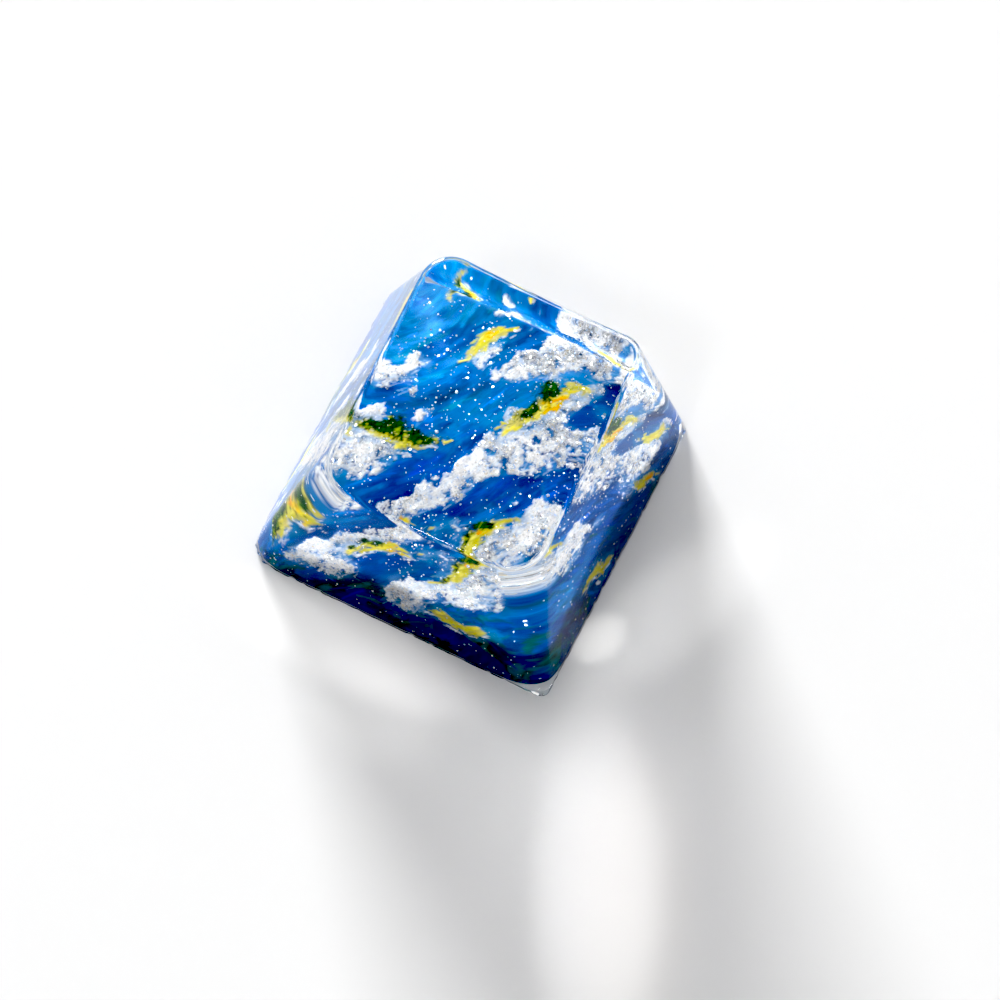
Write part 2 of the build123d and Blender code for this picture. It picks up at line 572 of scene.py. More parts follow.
LAWN = [lin(24, 78, 48), lin(20, 64, 44), lin(16, 50, 40), lin(46, 102, 44)]
LIME = [lin(150, 178, 36), lin(196, 204, 44), lin(110, 150, 34)]
SAND = [lin(238, 226, 72), lin(228, 214, 64), lin(244, 236, 118), lin(206, 206, 70)]
GOLD = [lin(250, 186, 20), lin(246, 164, 12), lin(244, 206, 44)]
SNOW = [lin(255, 255, 254), lin(247, 249, 252), lin(226, 236, 247)]
TEAL = [lin(10, 92, 112), lin(16, 120, 132), lin(10, 66, 178), lin(22, 96, 80), lin(24, 68, 92), lin(26, 72, 108)]

SWELL = Waves(3, 10, 8.0, 17.0)


def offshore(x, y):
    """How far out from the beach, in mm, on the sheet laid flat."""
    return 0.76 * x - 0.65 * y + 0.55 * SWELL(x, y)


def along(x, y):
    return 0.65 * x + 0.76 * y


def flow_angle(x, y):
    e = 0.05
    gx = offshore(x + e, y) - offshore(x - e, y)
    gy = offshore(x, y + e) - offshore(x, y - e)
    return np.arctan2(gx, -gy)


def cloud(seed, short, long, steep=1.0, stretch=1.0):
    """Smooth random field over the sheet, of mean 0 and spread 1, with detail from
    short to long mm. A stretch over 1 draws it out along the shore."""
    r = np.random.default_rng(seed)
    kx, ky = np.fft.rfftfreq(CELLS, PX)[None, :], np.fft.fftfreq(CELLS, PX)[:, None]
    g = math.atan2(0.76, 0.65)
    u = (kx * math.cos(g) + ky * math.sin(g)) * stretch
    v = -kx * math.sin(g) + ky * math.cos(g)
    f = np.hypot(u, v)
    band = np.exp(-(f * short * 0.7) ** 2) / np.maximum(f, 1 / long) ** (steep + 1) * (f > 0.35 / long)
    z = np.fft.irfft2(np.fft.rfft2(r.normal(size=(CELLS, CELLS))) * band, s=(CELLS, CELLS))
    return z / z.std()


def ramp_colour(q, stops):
    at = [p for p, _ in stops]
    cols = np.array([c for _, c in stops])
    return np.stack([np.interp(q, at, cols[:, i]) for i in range(3)], -1)


class Sheet:
    """The painted sheet laid flat: colour, thickness and share of glitter."""

    def __init__(self):
        g = (np.arange(CELLS) + 0.5) * PX - SPAN
        self.x, self.y = g[None, :], g[:, None]
        self.c = np.zeros((CELLS, CELLS, 3))
        self.h = np.zeros((CELLS, CELLS))
        self.s = np.zeros((CELLS, CELLS))

    def lay(self, mask, colour, body=0.5, glitter=0.0):
        m = np.clip(mask, 0, 1)
        self.c += (colour - self.c) * m[..., None]
        self.h += (body - self.h) * m
        self.s += (glitter - self.s) * m

    def at(self, x, y):
        return self.c[int((y + SPAN) / PX), int((x + SPAN) / PX)]

    def dab(self, rs, x, y, ang, long, wide, colour, alpha=1.0, bend=0.0, taper=0.0, body=0.5, glitter=0.0):
        """One brush stroke, with the marks of its bristles. A taper of 1 ends in a point."""
        half = 0.5 * math.hypot(long, wide) + abs(bend) * long * long * 0.25
        i0, i1 = int((x - half + SPAN) / PX), int((x + half + SPAN) / PX) + 2
        j0, j1 = int((y - half + SPAN) / PX), int((y + half + SPAN) / PX) + 2
        i0, j0, i1, j1 = max(i0, 0), max(j0, 0), min(i1, CELLS), min(j1, CELLS)
        if i0 >= i1 or j0 >= j1:
            return
        dx, dy = self.x[:, i0:i1] - x, self.y[j0:j1] - y
        ca, sa = math.cos(ang), math.sin(ang)
        al = dx * ca + dy * sa
        ac = dy * ca - dx * sa - bend * al * al
        la = al / (long / 2)
        wide_here = wide * (1 - taper * np.clip((la + 1) / 2, 0, 1) * 0.95) * np.sqrt(np.clip(1 - 0.55 * la ** 4, 0.05, 1))
        wa = ac / (wide_here / 2)
        nb = max(2, int(wide / 0.06))
        b = np.clip(((wa + 1) * 0.5 * nb).astype(int), 0, nb - 1)
        limit = np.where(la < 0, rs.uniform(0.75, 1.0, nb)[b], rs.uniform(0.6, 1.0, nb)[b])
        m = np.clip((limit - abs(la)) / (PX / long * 6.0), 0, 1) * np.clip((1 - abs(wa)) / (PX / wide_here * 5.0), 0, 1)
        m *= alpha
        tone = rs.uniform(0.9, 1.08, nb)[b]
        c = self.c[j0:j1, i0:i1]
        c += m[..., None] * (np.clip(np.asarray(colour) * tone[..., None], 0, 1) - c)
        self.h[j0:j1, i0:i1] += m * (body - self.h[j0:j1, i0:i1])
        self.s[j0:j1, i0:i1] += m * (glitter - self.s[j0:j1, i0:i1])


def pick(rs, colours):
    a, b = rs.integers(0, len(colours), 2)
    g = rs.uniform(0, 0.5)
    return np.clip((colours[a] * (1 - g) + colours[b] * g) * rs.uniform(0.92, 1.08), 0, 1)


def scatter(rs, weight, n):
    """Points of the sheet, drawn by a weight."""
    w = weight.ravel().cumsum()
    j, i = np.divmod(np.searchsorted(w, rs.uniform(0, w[-1], n)), CELLS)
    return (i + rs.uniform(size=n)) * PX - SPAN, (j + rs.uniform(size=n)) * PX - SPAN


# sand bars: place, half length, half width, turn off the surf's line, bend, scrub
BARS = [(2.3, 4.0, 3.0, 0.55, 0.10, 0.26, 1.15), (-4.2, -1.0, 2.9, 0.50, -0.20, -0.24, 1.6), (2.6, -4.3, 2.5, 0.38, 0.15, 0.24, 0.5),
        (-2.2, 6.3, 1.9, 0.40, -0.15, 0.18, 0.0), (6.9, 6.2, 1.5, 0.38, 0.10, -0.16, 0.0), (-2.0, -5.7, 2.3, 0.38, -0.30, 0.22, 0.35),
        (-6.9, -6.2, 2.1, 0.46, 0.05, 0.20, 0.9), (9.6, -1.4, 1.6, 0.36, 0.20, 0.18, 0.0), (9.2, 4.2, 1.3, 0.34, -0.2, -0.16, 0.0),
        (-9.6, 3.2, 1.7, 0.40, 0.10, 0.20, 0.6), (3.2, -8.4, 1.9, 0.34, -0.50, 0.18, 0.0), (-4.6, 9.7, 1.7, 0.38, -0.2, 0.18, 0.6),
        (4.4, 9.9, 1.5, 0.36, 0.1, 0.16, 0.0), (-9.9, -2.6, 1.5, 0.34, 0.2, 0.16, 0.0)]
# dark reefs: place, half length, half width
REEFS = [(5.6, -8.8, 2.4, 1.0), (8.6, -7.0, 1.7, 1.1), (0.4, -11.0, 3.0, 0.95), (-5.2, -10.8, 2.8, 0.95),
         (9.9, -10.2, 2.2, 1.5), (11.4, -3.2, 1.8, 0.7), (11.5, 4.6, 1.7, 0.6),
         (-11.5, 1.0, 1.8, 0.6), (-8.4, -9.4, 1.5, 0.9), (6.4, 11.4, 1.9, 0.55), (-2.6, -8.9, 2.2, 0.7)]


def blob(x, y, at, half, wide, turn, rough):
    dx, dy = x - at[0], y - at[1]
    u = (dx * math.cos(turn) + dy * math.sin(turn)) / half
    v = (dy * math.cos(turn) - dx * math.sin(turn)) / wide
    return 1 - np.hypot(u, v) + rough


def design():
    """A coast seen from above: sand bars with scrub in water that deepens towards one
    corner, lines of surf, and dark reefs."""
    rs = np.random.default_rng(17)
    sh = Sheet()
    x, y = np.broadcast_arrays(sh.x, sh.y)
    big, mid, fine = cloud(1, 1.6, 8.0), cloud(2, 0.45, 2.6), cloud(3, 0.07, 0.6, 0.6)
    brush = cloud(4, 0.10, 2.4, 0.7, 4.0)
    slow = cloud(5, 1.2, 5.0, 1.0, 2.0)
    plain = offshore(x, y)
    q = plain + 0.42 * big + 0.13 * mid + 0.035 * fine

    # water: washes that run into each other, then strokes along the shore
    depth = plain + 1.3 * slow + 0.5 * brush
    c = ramp_colour(depth, [(-8, lin(42, 122, 184)), (-4.5, lin(30, 110, 180)), (-1.5, lin(20, 100, 178)), (1.5, lin(14, 92, 174)),
                            (4.5, lin(8, 86, 168)), (8.0, lin(6, 80, 152)), (12, lin(6, 72, 130))])
    c = c * (1 + 0.18 * brush + 0.12 * mid + 0.06 * fine)[..., None]
    tide = smooth01((cloud(6, 0.8, 4.5, 1.0, 3.0) - 0.35) / 0.9) * 0.6
    c += (lin(32, 124, 188) - c) * tide[..., None]
    dusk = smooth01((cloud(7, 0.8, 4.5, 1.0, 3.0) - 0.4) / 0.9) * 0.7
    c += (lin(5, 66, 142) - c) * dusk[..., None]
    fold = np.maximum(-y - 6.9, x - 6.7)
    c *= (1 - 0.20 * smooth01((fold - 0.8) / 3.6))[..., None]
    # painted reflection: the paint on the left side is mixed towards a darker lavender, standing in for the pale floor
    # mirrored in that side at a grazing angle
    painted_left_reflection = smooth01((-x - 7.5) / 2.0)
    c += (lin(52, 80, 160) - c) * (0.6 * painted_left_reflection)[..., None]
    sh.c[:] = np.clip(c, 0, 1)
    sh.h[:] = 0.25 + 0.12 * brush
    n = 3200
    px, py = rs.uniform(-12.6, 12.6, n), rs.uniform(-12.6, 12.6, n)
    ang = flow_angle(px, py) + rs.normal(0, 0.16, n)
    for i in range(n):
        tint = 1 + rs.normal(0, 0.10) * np.array([0.3, 1.0, -0.6])
        sh.dab(rs, px[i], py[i], ang[i], rs.uniform(0.6, 2.4), rs.uniform(0.14, 0.40),
               np.clip(sh.at(px[i], py[i]) * tint * rs.uniform(0.62, 1.55), 0, 1), rs.uniform(0.35, 0.8), rs.normal(0, 0.05), 0.0,
               rs.uniform(0.15, 0.45))
    for tx, ty in zip(*scatter(rs, smooth01((plain - 4.5) / 3.0), 240)):
        sh.dab(rs, tx, ty, flow_angle(tx, ty) + rs.normal(0, 0.3), rs.uniform(0.5, 1.8), rs.uniform(0.12, 0.34), pick(rs, TEAL[:4]),
               rs.uniform(0.35, 0.8), rs.normal(0, 0.1), rs.uniform(0, 0.6), 0.4)

    # reefs, dark, with teal and blue worked into them
    for k, (bx, by, hl, hw) in enumerate(REEFS):
        turn = rs.normal(0.15, 0.25)
        m = blob(x, y, (bx, by), hl, hw, turn, 0.30 * mid + 0.10 * fine)
        ink = ramp_colour(cloud(40 + k % 4, 0.25, 1.8, 0.8, 2.0), [(-1.6, lin(22, 66, 116)), (-0.2, lin(28, 74, 92)), (0.6, lin(32, 90, 88)), (1.8, lin(22, 116, 130))])
        sh.lay(smooth01(m / 0.22), ink, 0.45)
        for _ in range(int(9 * hl)):
            u, v = rs.uniform(-0.95, 0.95), rs.uniform(-0.9, 0.9)
            sh.dab(rs, bx + u * hl * math.cos(turn), by + v * hw + u * hl * math.sin(turn), turn + rs.normal(0.3, 0.3), rs.uniform(0.4, 1.4), rs.uniform(0.10, 0.28),
                   pick(rs, TEAL), rs.uniform(0.5, 0.9), rs.normal(0, 0.1))

    # surf: sharp on the shore side, crumbling away behind, with thick touches of white
    lump, grains = cloud(8, 0.16, 1.1, 0.7), cloud(9, 0.05, 0.22, 0.2)
    tin = cloud(10, 0.5, 2.6)
    white = ramp_colour(lump + 0.35 * fine + 0.5 * brush, [(-2.4, lin(140, 178, 222)), (-1.2, lin(212, 224, 240)), (-0.2, lin(250, 251, 252)), (1.5, lin(255, 255, 254))])
    silver = ramp_colour(lump + 0.6 * fine, [(-2.0, lin(130, 146, 172)), (-0.6, lin(180, 188, 198)), (0.6, lin(212, 215, 218)), (1.8, lin(246, 247, 248))])
    shine = smooth01((tin + 0.15) / 0.7)
    foam = white + (silver - white) * shine[..., None]
    for k, (at, wide, gap, tail) in enumerate(((-6.3, 0.85, -0.35, 1.5), (-2.7, 1.30, -0.75, 1.9), (1.3, 1.75, -0.65, 2.2), (5.8, 1.10, 0.0, 1.8))):
        # less surf on the left side, where the painted reflection is laid
        here = smooth01((cloud(60 + k, 1.8, 7.0, 1.0, 2.2) - gap) / 0.6) * (1 - 0.95 * smooth01((fold + 0.5 * big - 0.9) / 1.6)) * (1 - 0.6 * painted_left_reflection)
        d = (q - at + 0.35 * cloud(70 + k, 0.7, 3.0)) / wide
        lead = smooth01((d + 1.0) / 0.30)
        body = lead * (1 - smooth01((d + 0.2) / tail)) * here
        hold = smooth01(body / 0.30)
        solid = smooth01((body + hold * (0.24 * lump + 0.10 * fine + 0.07 * grains) - 0.38) / 0.34)
        sh.lay(0.55 * hold * smooth01(0.6 + 0.5 * mid), lin(104, 168, 224), 0.35, 0.15)
        sh.lay(solid, foam, 1.0, 1.0)
        sh.s *= 1 - 0.55 * solid * (1 - shine)
        for tx, ty in zip(*scatter(rs, body * (body > 0.35) * (0.25 + (d < -0.55)) * (1 - 0.75 * shine), 420)):
            sh.dab(rs, tx, ty, flow_angle(tx, ty) + rs.normal(0.2, 0.45), rs.uniform(0.25, 0.85), rs.uniform(0.12, 0.30), pick(rs, SNOW),
                   rs.uniform(0.6, 1.0), rs.normal(0, 0.2), rs.uniform(0, 0.6), rs.uniform(0.9, 1.3), 0.3)
        for tx, ty in zip(*scatter(rs, hold * (hold > 0.3) * (1 - solid) * (d > -0.6), 160)):
            sh.dab(rs, tx, ty, flow_angle(tx, ty) + rs.normal(0, 0.3), rs.uniform(0.3, 1.0), rs.uniform(0.08, 0.18), pick(rs, [lin(150, 196, 236), lin(206, 224, 244)]),
                   rs.uniform(0.4, 0.8), rs.normal(0, 0.15), rs.uniform(0.3, 1), 0.5)

    # sand bars: shoals, broken surf along one side, sand laid on in dabs, scrub along the other
    for k, (bx, by, hl, hw, turn, bend, green) in enumerate(BARS):
        g = float(flow_angle(np.array(bx), np.array(by))) + turn
        u = ((x - bx) * math.cos(g) + (y - by) * math.sin(g)) / hl
        v = ((y - by) * math.cos(g) - (x - bx) * math.sin(g) - bend * np.sin(3.3 * u + 0.4 * k)) / hw
        m = 1 - np.hypot(u * u, v) + 0.22 * lump + 0.22 * mid

        def spot(u, v):
            """A point of the bar, and the way that the bar runs there."""
            a, b = u * hl, bend * math.sin(3.3 * u + 0.4 * k) + v * hw * (1 - 0.7 * u * u) * (1 + 0.45 * math.sin(6 * u + k))
            way = g + math.atan(3.3 * bend * math.cos(3.3 * u + 0.4 * k) / hl)
            return (bx + a * math.cos(g) - b * math.sin(g), by + a * math.sin(g) + b * math.cos(g)), way

        sh.lay(smooth01((m + 1.1) / 1.0) * 0.5, lin(48, 142, 204), 0.3)
        for _ in range(int(9 * hl)):
            p, way = spot(rs.uniform(-1, 1), rs.uniform(-1.7, -1.1))
            sh.dab(rs, *p, way + rs.normal(0, 0.2), rs.uniform(0.3, 0.9), rs.uniform(0.10, 0.22), pick(rs, SNOW), rs.uniform(0.55, 0.95),
                   rs.normal(0, 0.15), rs.uniform(0, 0.7), 0.9, 0.4)
        sh.lay(smooth01((m - 0.15) / 0.35) * 0.8, lin(226, 212, 68), 0.7)
        for _ in range(int(24 * hl)):
            a = rs.normal(0, 0.42)
            p, way = spot(np.clip(a, -1, 1), rs.uniform(-0.85, 0.85))
            ripe = k % 3 != 1 and abs(a - 0.25) < 0.22 and rs.uniform() < 0.6
            sh.dab(rs, *p, way + rs.normal(0, 0.28), rs.uniform(0.35, 1.0), rs.uniform(0.12, 0.30), pick(rs, GOLD if ripe else SAND),
                   rs.uniform(0.75, 1.0), rs.normal(0, 0.15), rs.uniform(0, 0.6), rs.uniform(0.7, 1.1))
        clumps = [(rs.uniform(-0.85, 0.5), rs.uniform(0.5, 1.1)) for _ in range(6)] if green else []
        for cu, cv in clumps:
            size = rs.uniform(0.5, 1.0) * green
            for _ in range(int(90 * size)):
                du, dv = rs.normal(0, 0.5 * size / hl), rs.normal(0, 0.24 * size / hw)
                p, way = spot(cu + du, cv + dv)
                far = math.hypot(du * hl, dv * hw) > 0.42 * size
                sh.dab(rs, *p, way + rs.normal(0.6, 0.7), rs.uniform(0.22, 0.55), rs.uniform(0.08, 0.15) if far else rs.uniform(0.14, 0.28),
                       pick(rs, LIME if rs.uniform() < 0.10 else LAWN), 0.95, rs.normal(0, 0.35), 1.0 if far else 0.4, 0.95)
    return sh


def look(array, x, y):
    """Values of a flat array at points of the sheet."""
    fx = np.clip((x + SPAN) / PX - 0.5, 0, CELLS - 1.001)
    fy = np.clip((y + SPAN) / PX - 0.5, 0, CELLS - 1.001)
    i, j = fx.astype(int), fy.astype(int)
    u, v = fx - i, fy - j
    if array.ndim == 3:
        u, v = u[:, None], v[:, None]
    return (array[j, i] * (1 - u) + array[j, i + 1] * u) * (1 - v) + (array[j + 1, i] * (1 - u) + array[j + 1, i + 1] * u) * v


# ---------------------------------------------------------------- painted core
def painted_core():
    M, K1, K2 = 148, 94, 102
    ns, na = 960, 224
    foot, edge, down = core_outline(ns, na)
    rings = round_edge(edge, down, unit(edge - DOME_C), CORE_EDGE_R, K2 - K1)
    k, t, quads, outer = grid_rings(M)
    pts, flat = np.zeros((len(k), 3)), np.zeros((len(k), 2))
    plan0 = rings[0][:, :2]
    tau = unit(np.roll(plan0, -1, 0) - np.roll(plan0, 1, 0))
    outward = np.column_stack([tau[:, 1], -tau[:, 0]])
    gone = np.zeros(len(foot))
    for ring in range(M + 1):
        sel = k == ring
        ts = t[sel]
        if ring <= K1:
            p = dome_point(DOME_C[:2] + (around(plan0, ts) - DOME_C[:2]) * (ring / K1))
            pts[sel], flat[sel] = p, p[:, :2]
            continue
        if ring <= K2:
            loop = rings[ring - K1]
            gone = gone + np.linalg.norm(loop - rings[ring - K1 - 1], axis=1)
            dist = gone
        else:
            g = (ring - K2) / (M - K2)
            loop = rings[-1] + (foot - rings[-1]) * g
            dist = gone + np.linalg.norm(loop - rings[-1], axis=1)
        pts[sel] = around(loop, ts)
        flat[sel] = around(plan0 + outward * dist[:, None], ts)
    nrm = vertex_normals(pts, quads)

    art = design()
    col = look(art.c, flat[:, 0], flat[:, 1])
    hgt = look(art.h, flat[:, 0], flat[:, 1])
    sil = look(art.s, flat[:, 0], flat[:, 1])
    ease = smooth01(pts[:, 2] / 0.30)
    pts = pts + nrm * ((0.025 + 0.055 * np.clip(hgt, 0, 1.6)) * ease)[:, None]

    sh = Shell()
    ids = sh.add(pts)
    sh.faces(quads)
    ring = ids[outer]

    # underside: rim, hollow, stem and cross socket
    mouth = lift(rounded(square(MOUTH), HOLLOW_R, NS, NA), 0)
    high = lift(rounded(square(CEILING), HOLLOW_R, NS, NA), HOLLOW_Z)
    rim = sh.add(around(pts[outer], T_N) * 0.97 + mouth * 0.03)
    sh.stitch(ring, np.arange(len(ring)) / len(ring), rim, T_N, 1)
    lo, hi = np.zeros(N), np.ones(N)
    roof_r = CORE_DOME_R - ROOF
    for _ in range(50):
        s = (lo + hi) / 2
        out = np.linalg.norm(mouth + (high - mouth) * s[:, None] - DOME_C, axis=1) > roof_r
        hi, lo = np.where(out, s, hi), np.where(out, lo, s)
    wall = mouth + (high - mouth) * ((lo + hi) / 2)[:, None]
    last = rim
    lip = 0.10
    inward = unit(np.column_stack([-mouth[:, :2], np.zeros(N)]))
    path = [mouth - inward * lip]
    path += [mouth - inward * lip * (1 - math.sin(a)) + np.array([0, 0, lip * (1 - math.cos(a))]) for a in np.linspace(0, math.pi / 2, 5)[1:]]
    path += [path[-1] + (wall - path[-1]) * g for g in (0.05, 0.45, 0.89)]
    tuck = 0.22
    for g in np.linspace(0, 1, 6):
        a, b = wall + unit(mouth - wall) * tuck, wall
        c = dome_point(wall[:, :2] + unit(-wall[:, :2]) * tuck, roof_r)
        path.append(a * (1 - g) ** 2 + b * 2 * g * (1 - g) + c * g ** 2)
    in_plan = path[-1][:, :2]
    circle = unit(in_plan) * (STEM_D / 2 + 0.40)
    for g in (0.04, 0.15, 0.3, 0.45, 0.6, 0.75, 0.88, 0.97, 1.0):
        path.append(dome_point(in_plan + (circle - in_plan) * g, roof_r))
    for p in path:
        nxt = sh.add(p)
        sh.band(last, nxt, 1)
        last = nxt

    def cross(grow, z, per=8):
        a, b = SOCKET_L / 2 + grow, SOCKET_W1 / 2 + grow
        c, d = SOCKET_W2 / 2 + grow, SOCKET_L / 2 + grow
        pts12 = [(-a, -b), (-c, -b), (-c, -d), (c, -d), (c, -b), (a, -b), (a, b), (c, b), (c, d), (-c, d), (-c, b), (-a, b)]
        o = []
        for i in range(12):
            p, q = np.array(pts12[i]), np.array(pts12[(i + 1) % 12])
            o += [p + (q - p) * g / per for g in range(per)]
        return lift(np.array(o), z)

    lead = cross(SOCKET_LEAD, STEM_RISE)
    start_ang = math.atan2(in_plan[0, 1], in_plan[0, 0])
    ang = np.mod(np.arctan2(lead[:, 1], lead[:, 0]) - start_ang, 2 * math.pi)
    shift = int(np.argmin(ang))
    order = np.roll(np.arange(len(lead)), -shift)
    ang = ang[order]
    ring_ang = np.mod(np.arctan2(circle[:, 1], circle[:, 0]) - start_ang + 1e-9, 2 * math.pi)
    dirs = unit(lead[order][:, :2])
    r = STEM_D / 2
    root = 0.25
    stem = []
    for a in np.linspace(0, math.pi / 2, 5):
        rr = r + root * (1 - math.sin(a))
        zz = DOME_C[2] + math.sqrt(roof_r ** 2 - r ** 2) - 0.01 - root * (1 - math.cos(a))
        stem.append(lift(dirs * rr, zz))
    top_z = stem[-1][0, 2]
    edge_r = 0.08
    stem += [lift(dirs * r, top_z + (STEM_RISE + edge_r - top_z) * g) for g in (0.03, 0.3, 0.6, 0.97, 1.0)]
    stem += [lift(dirs * (r - edge_r * (1 - math.cos(a))), STEM_RISE + edge_r * (1 - math.sin(a))) for a in np.linspace(0, math.pi / 2, 4)[1:]]
    first = sh.add(stem[0])
    sh.stitch(last, ring_ang / (2 * math.pi), first, ang / (2 * math.pi), 1)
    last = first
    for p in stem[1:] + [lead[order], cross(0, STEM_RISE + SOCKET_LEAD)[order],
                         cross(0, 2.0)[order], cross(0, SOCKET_TOP)[order]]:
        nxt = sh.add(p)
        sh.band(last, nxt, 1)
        last = nxt
    sh.faces([tuple(last[::-1])], 1)
    return sh, pts, nrm, col, sil, flat


# ---------------------------------------------------------------- glitter
def flake_points(pts, nrm, sil, flat):
    """Places, facings, sizes and colours of the flakes: dense in the white, sparse on
    the rest of the paint, and a few that hang in the clear resin."""
    rs = np.random.default_rng(29)
    seen = pts[:, 2] > 0.25
    speck = smooth01((Waves(5, 40, 0.9, 3.2)(flat[:, 0], flat[:, 1]) + 0.4) / 1.6)
    sparse = (0.018 + 0.024 * speck) * (0.35 + 0.65 * smooth01((pts[:, 2] - 3.0) / 0.8))
    weight = seen * (sparse + np.clip(sil, 0, 1) ** 1.5)
    chosen = rs.choice(len(pts), 8200, p=weight / weight.sum())
    pos = pts[chosen] + nrm[chosen] * rs.uniform(0.012, 0.05, len(chosen))[:, None] + rs.normal(0, 0.03, (len(chosen), 3))
    face = unit(nrm[chosen] + rs.normal(0, 0.30, (len(chosen), 3)))
    size = np.exp(rs.uniform(math.log(0.024), math.log(0.070), len(chosen)))
    hang, facing = [], []
    while len(hang) < 420:
        p = np.array([rs.uniform(-7.5, 7.5), rs.uniform(-7.5, 7.5), 0])
        low = float(dome_point(p[None, :2])[0, 2])
        p[2] = low + 0.12 + rs.exponential(1.1)
        if in_clear(p, 0.28):
            hang.append(p)
            facing.append(rs.normal(0, 1, 3) + [0, 0, 1.2])
    pos = np.concatenate([pos, hang])
    face = np.concatenate([face, unit(np.array(facing))])
    size = np.concatenate([size, np.exp(rs.uniform(math.log(0.022), math.log(0.058), len(hang)))])
    tint = np.array([lin(250, 250, 250), lin(235, 240, 248), lin(200, 222, 250), lin(250, 240, 220)])
    col = tint[rs.choice(4, len(pos), p=[0.5, 0.28, 0.14, 0.08])] * rs.uniform(0.8, 1.0, (len(pos), 1))
    spin = rs.uniform(0, math.pi, len(pos))
    return pos, face, size, col, spin


def flakes(pts, nrm, sil, flat):
    """Six-sided flakes of glitter, each a thin closed plate."""
    pos, face, size, col, spin = flake_points(pts, nrm, sil, flat)
    n = len(pos)
    helper = np.where(abs(face[:, 2:3]) < 0.9, [[0, 0, 1.0]], [[1.0, 0, 0]])
    e1 = unit(np.cross(helper, face))
    e2 = np.cross(face, e1)
    g = spin[:, None] + np.arange(6)[None] * math.pi / 3
    ring = pos[:, None] + size[:, None, None] * (np.cos(g)[..., None] * e1[:, None] + np.sin(g)[..., None] * e2[:, None])
    thick = (face * 0.004)[:, None]
    v = np.concatenate([ring + thick, ring - thick], 1).reshape(-1, 3)
    o = np.arange(n)[:, None, None] * 12
    top = np.array([[0, 1, 2, 3], [0, 3, 4, 5]])
    bottom = np.array([[9, 8, 7, 6], [11, 10, 9, 6]])
    sides = np.array([[i, i + 6, (i + 1) % 6 + 6, (i + 1) % 6] for i in range(6)])
    quads = (np.concatenate([top, bottom, sides])[None] + o).reshape(-1, 4)
    me = bpy.data.meshes.new("glitter_flakes")
    me.from_pydata((v * 0.001).tolist(), [], quads.tolist())
    att = me.color_attributes.new("flake", "FLOAT_COLOR", "POINT")
    rgba = np.ones((n, 12, 4), np.float32)
    rgba[..., :3] = col[:, None]
    att.data.foreach_set("color", rgba.ravel())
    me.materials.append(flake_metal())
    me.update()
    ob = bpy.data.objects.new("glitter_flakes", me)
    bpy.context.scene.collection.objects.link(ob)
    return ob


# ---------------------------------------------------------------- put together
core_shell, pts, nrm, col, sil, flat = painted_core()
core = core_shell.make("painted_core_model", [paint(), cast_resin()])
me = core.data
total = len(me.vertices)
rgba = np.ones((total, 4), np.float32)
rgba[: len(col), :3] = np.clip(col, 0, 1)
rgba[len(col):, :3] = lin(9, 44, 140)
me.color_attributes.new("paint", "FLOAT_COLOR", "POINT").data.foreach_set("color", rgba.ravel())
flow = np.zeros((total, 3), np.float32)
flow[: len(col), 0] = along(flat[:, 0], flat[:, 1]) * 1.4
flow[: len(col), 1] = offshore(flat[:, 0], flat[:, 1]) * 9.0
me.attributes.new("flow", "FLOAT_VECTOR", "POINT").data.foreach_set("vector", flow.ravel())
grit = np.zeros(total, np.float32)
grit[: len(col)] = np.clip(sil, 0, 1)
me.attributes.new("silver", "FLOAT", "POINT").data.foreach_set("value", grit)
me.set_sharp_from_angle(angle=math.radians(52))

cap = clear_body().make("clear_cap_model", [clear_resin()])
glitter = flakes(pts, nrm, sil, flat)

for piece, node, slot in ((core, "painted_core", "painted_resin"), (cap, "clear_cap", "clear_resin")):
    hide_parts(node)
    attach(piece, "root")
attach(glitter, "root")

# ---------------------------------------------------------------- floor
me = bpy.data.meshes.new("floor")
me.from_pydata([(-3, -3, 0), (3, -3, 0), (3, 3, 0), (-3, 3, 0)], [], [(0, 1, 2, 3)])
floor = bpy.data.objects.new("floor", me)
floor.location = (0, 0, -0.00002)
bpy.context.scene.collection.objects.link(floor)
m, nt, p = material("floor")
p.inputs["Base Color"].default_value = (0.65, 0.65, 0.65, 1)
p.inputs["Roughness"].default_value = 0.7
p.inputs["Specular IOR Level"].default_value = 0.1
me.materials.append(m)

# ---------------------------------------------------------------- light
scene = bpy.context.scene
world = bpy.data.worlds.new("studio")
scene.world = world
world.use_nodes = True
nt = world.node_tree
bg = nt.nodes["Background"]
tc = nt.nodes.new("ShaderNodeTexCoord")
sep = nt.nodes.new("ShaderNodeSeparateXYZ")
nt.links.new(tc.outputs["Generated"], sep.inputs["Vector"])
ramp = nt.nodes.new("ShaderNodeValToRGB")
stops = [(0.0, 1.06), (0.517, 1.06), (0.552, 0.66), (0.75, 0.66), (0.933, 0.60), (0.985, 0.46), (1.0, 0.40)]
while len(ramp.color_ramp.elements) < len(stops):
    ramp.color_ramp.elements.new(0.5)
for e, (x, v) in zip(ramp.color_ramp.elements, stops):
    e.position = x
    e.color = (v, v, v * 1.01, 1)
half = nt.nodes.new("ShaderNodeMath")
half.operation = "MULTIPLY_ADD"
half.inputs[1].default_value = 0.5
half.inputs[2].default_value = 0.5
nt.links.new(sep.outputs["Z"], half.inputs[0])
nt.links.new(half.outputs["Value"], ramp.inputs["Fac"])


def towards(azimuth, elevation):
    a, e = math.radians(azimuth), math.radians(elevation)
    return Vector((math.cos(e) * math.cos(a), math.cos(e) * math.sin(a), math.sin(e)))


